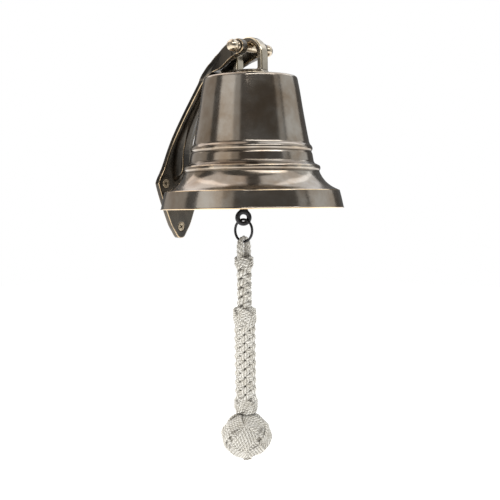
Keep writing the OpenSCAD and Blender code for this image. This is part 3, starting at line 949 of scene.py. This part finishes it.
def make_ball_knot():
    """The ball knot: a Turk's head of parallel cords over a filling, both on an upright ellipsoid, a
    point of which is (r cos(lat) cos(angle), r cos(lat) sin(angle), height x sin(lat))."""
    low, high = rope_heights("ball_core")
    mid, r, tall = (low + high) / 2, span("ball_knot")[0] / 2, 21.5
    leads, bights, cords, cord_r, weave, reach = 4, 5, 6, 1.42, 1.0, math.radians(58)

    def at(angle, v):
        lat = v * reach
        point = round_axis((r - 2.5) * np.cos(lat), angle, mid + (tall - 2.3) * np.sin(lat))
        return point, round_axis(np.cos(lat), angle, np.sin(lat))

    stock = Stock()
    turks_head(stock, at, leads, bights, cords, cord_r, weave)
    lat = np.radians(np.linspace(89.9, -89.9, 60))
    core = np.stack([(r - 3.1) * np.cos(lat), mid + (tall - 2.6) * np.sin(lat)], 1)
    points, quads, _ = turned(core, 96, closed=False)
    # The filling is painted part-dark as shade, so the gaps between the cords look shadowed.
    stock.add(points, quads[:, ::-1], wear=np.full(len(points), 0.4), hollow=np.full(len(points), 0.6))
    return stock.piece("ball_tied", "lanyard", "cotton", cotton, ["ball_knot"])


def make_rope():
    """The rope itself: three strands laid round the eye's path, the four-strand braid, the thick braid,
    and the heart strands that run on through the ball knot."""
    stock = Stock()
    foot = rope_heights("eye_knot")[0] + 3
    a = np.linspace(0, np.pi, 24)
    arch = np.stack([EYE_R * np.cos(a), 0 * a, EYE_H + EYE_R * np.sin(a)], 1)
    line = even(np.concatenate([[[EYE_R * 0.8, 0, foot], [EYE_R, 0, foot + 8]], arch,
                                [[-EYE_R, 0, foot + 8], [-EYE_R * 0.8, 0, foot]]]), 0.5)
    line = smoothed(line, 6)
    level = np.array([0.0, 1.0, 0.0])
    flat = np.cross(unit(np.gradient(line, axis=0)), level)
    along = np.arange(len(line)) * 0.5
    nip = 1 - 0.4 * np.clip((line[:, 2] - EYE_H + 4) / 7, 0, 1) ** 1.5
    line = line - np.array([0.0, 0.0, 1.0]) * (1 - nip)[:, None] * PINCH_SINK
    for k in range(3):
        spin = 2 * np.pi * (along / EYE_LAY + k / 3)
        round_it = np.cos(spin)[:, None] * flat + np.sin(spin)[:, None] * level
        path = line + 1.72 * nip[:, None] * round_it
        strand(stock, path, 1.98 * nip, level, 16, -7.0, k * 1.0, step=0)
    low, high = rope_heights("upper_braid")
    braid(stock, high + 4, low - 6, pairs=2, lay=18.0, r=4.1, weave=1.0, proud=0.35, strand_r=2.95,
          sides=20, twist=8.0)
    low, high = rope_heights("lower_braid")
    braid(stock, high + 7, low - 5, pairs=5, lay=42.0, r=7.3, weave=0.7, proud=0.5, strand_r=2.55,
          sides=18, twist=7.5)
    z = np.linspace(low + 4, rope_heights("strand_ends")[0] + 0.15, 90)
    for k in range(5):
        spin = z * 0.05 + k * 2 * np.pi / 5
        # Painted shade: the heart strands inside the ball knot are darkened.
        strand(stock, round_axis(2.4, spin, z), 1.5, outward, 12, 6.0, k, deep=0.5)
    return stock.piece("rope_laid", "lanyard", "cotton", cotton, ["rope_eye", "upper_braid", "lower_braid"])


def make_ends():
    """The cut ends under the ball: short cords that lean out a little, frayed to slightly uneven ends."""
    foot, top = rope_heights("strand_ends")
    stock = Stock()
    for k in range(11):
        spin = k * 2.4
        r = 0.62 * math.sqrt(k + 0.4)
        long = top - foot - 0.45 * (k * 7 % 5) - 0.2
        z = np.linspace(0, 1, 14)
        out = r * 1.75 + 0.8 * z * z
        path = round_axis(out, spin, top + 2.5 - (long + 2.5) * z)
        # A little painted shade on the cut ends under the ball.
        strand(stock, path, 0.98, [1.0, 0, 0], 12, 4.0, k, step=0.45, deep=0.25)
    return stock.piece("cut_ends", "lanyard", "cotton", cotton, ["strand_ends"])


# ---------------------------------------------------------------- camera, stage and light

VIEW_TURN, CAMERA_FAR = math.radians(50), 0.987
PITCH, ROLL, YAW = math.radians(2.31), math.radians(-0.8), math.radians(0.164)
AXIS_POINT = Vector((0, AXIS[1] * MM, LIP_Z * MM))
TO_CAMERA = Vector((-math.sin(VIEW_TURN), -math.cos(VIEW_TURN), 0))
TO_RIGHT = Vector((math.cos(VIEW_TURN), -math.sin(VIEW_TURN), 0))


def make_camera():
    """The camera, at the lip's height, turned towards the bell's axis and a little down."""
    data = bpy.data.cameras.new("camera")
    data.lens, data.sensor_width = 73.1, 36
    data.clip_start = 0.05
    camera = linked("camera", data)
    turn = Matrix.Rotation(YAW - VIEW_TURN, 4, "Z") @ Matrix.Rotation(math.pi / 2 - PITCH, 4, "X")
    spot = Matrix.Translation(AXIS_POINT + TO_CAMERA * CAMERA_FAR)
    camera.matrix_world = spot @ turn @ Matrix.Rotation(ROLL, 4, "Z")
    bpy.context.scene.camera = camera


AIM = AXIS_POINT + Vector((0, 0, 0.04))


def panel(name, side, rise, far, wide, tall, power, colour=(1, 1, 1)):
    """A soft panel that faces the bell: side is its angle in degrees to the right of the camera, rise its
    angle above level, and far, wide and tall are in metres."""
    side, rise = math.radians(side), math.radians(rise)
    level = TO_CAMERA * math.cos(side) + TO_RIGHT * math.sin(side)
    spot = AIM + (level * math.cos(rise) + Vector((0, 0, math.sin(rise)))) * far
    data = bpy.data.lights.new(name, "AREA")
    data.shape, data.size, data.size_y = "RECTANGLE", wide, tall
    data.energy, data.color = power, colour
    light = linked(name, data)
    light.location = spot
    light.rotation_euler = (AIM - spot).to_track_quat("-Z", "Y").to_euler()
    light.visible_camera = False
    return light


# Each panel's side, rise, distance, width, height, power and colour
PANELS = {
    "left_panel": (-56, 8, 1.4, 0.85, 1.5, 4.2),
    "left_edge_panel": (-31, 8, 1.4, 0.34, 1.4, 0.7),
    "far_left_panel": (-119, 5, 1.4, 1.4, 1.5, 2.7, (1.0, 0.92, 0.84)),
    "right_panel": (102, 8, 1.4, 1.25, 1.5, 4.6, (0.93, 0.97, 1.0)),
    "right_edge_panel": (66, 8, 1.4, 0.3, 1.4, 0.55, (0.93, 0.97, 1.0)),
    "bead_strip": (27, 45, 1.3, 1.5, 0.2, 5.2),
    "top_left_panel": (-95, 64, 1.3, 1.2, 1.0, 3.6, (1.0, 0.93, 0.9)),
    "top_right_panel": (96, 60, 1.3, 1.2, 1.1, 4.6, (0.92, 0.95, 1.0)),
    "back_left_panel": (-146, 46, 1.3, 1.1, 0.9, 4.0, (1.0, 0.93, 0.9)),
    "back_right_panel": (142, 46, 1.3, 1.1, 0.9, 3.6, (0.92, 0.95, 1.0)),
    "rope_key": (-38, 38, 1.6, 0.5, 0.5, 11),
}
REFLECTED_ROOM, LIT_ROOM = 0.145, 0.38
FLOOR_DROP, FLOOR_HALF = 0.35, 6.0


def make_light():
    """Soft panels round the bell, with dark gaps between them, in a room that looks white, but is dimmer
    to what reflects it and to what it lights. The key panel lights the rope and isn't reflected."""
    panels = {name: panel(name, *values) for name, values in PANELS.items()}
    panels["rope_key"].visible_glossy = False
    world = bpy.data.worlds.new("room")
    bpy.context.scene.world = world
    world.use_nodes = True
    tree = world.node_tree
    back = tree.nodes["Background"]
    rays = tree.nodes.new("ShaderNodeLightPath")
    mix = tree.nodes.new("ShaderNodeMapRange")
    mix.inputs["To Min"].default_value = REFLECTED_ROOM
    mix.inputs["To Max"].default_value = LIT_ROOM
    tree.links.new(rays.outputs["Is Diffuse Ray"], mix.inputs["Value"])
    most = tree.nodes.new("ShaderNodeMath")
    most.operation = "MAXIMUM"
    tree.links.new(mix.outputs[0], most.inputs[0])
    tree.links.new(rays.outputs["Is Camera Ray"], most.inputs[1])
    tree.links.new(most.outputs[0], back.inputs["Strength"])
    back.inputs["Color"].default_value = (1, 1, 1, 1)


def make_floor():
    """A plain pale floor, a wide flat square well below the rope."""
    floor_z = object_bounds()[0][2] - FLOOR_DROP
    mesh = bpy.data.meshes.new("floor")
    corners = [(x * FLOOR_HALF, y * FLOOR_HALF, floor_z) for x, y in ((-1, -1), (1, -1), (1, 1), (-1, 1))]
    mesh.from_pydata(corners, [], [(0, 1, 2, 3)])
    floor = linked("floor", mesh)
    f = Finish("pale_floor")
    cloud = f.noise(f.place, 2.0)
    f.shader.inputs["Emission Strength"].default_value = 0.95
    mesh.materials.append(
        f.done(base_color=f.blend(cloud, (0.86, 0.86, 0.855), (0.9, 0.9, 0.895)), roughness=0.9,
               emission_color=(1.0, 1.0, 1.0)))


# ---------------------------------------------------------------- everything

make_camera()
rope = make_rope()
knots = make_knots()
ball_knot = make_ball_knot()
ends = make_ends()
rope_top, rope_foot = EYE_TOP - CORD_DROP, rope_heights("strand_ends")[0]
rope_line = [HANG + [0, 0, rope_top + (rope_foot - rope_top) * k / 20] for k in range(21)]
rope_path = place(rope_line).tolist()
(rope_top - rope_foot) * MM
make_bell()
make_crown_loop()
make_bracket()
make_screws()
make_pin_and_nuts()
make_clapper()
make_ring()
kept = {
    "crown_washer": brass,
    "crown_nut": brass,
    "clapper_staple": brass,
    "clapper_rod": iron,
    "heart_rope": cotton,
    "ball_core": wood,
}
for node, finish in kept.items():
    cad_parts[node].data.materials.clear()
    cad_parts[node].data.materials.append(finish)
make_light()
make_floor()
bpy.context.scene.view_settings.view_transform = "Standard"
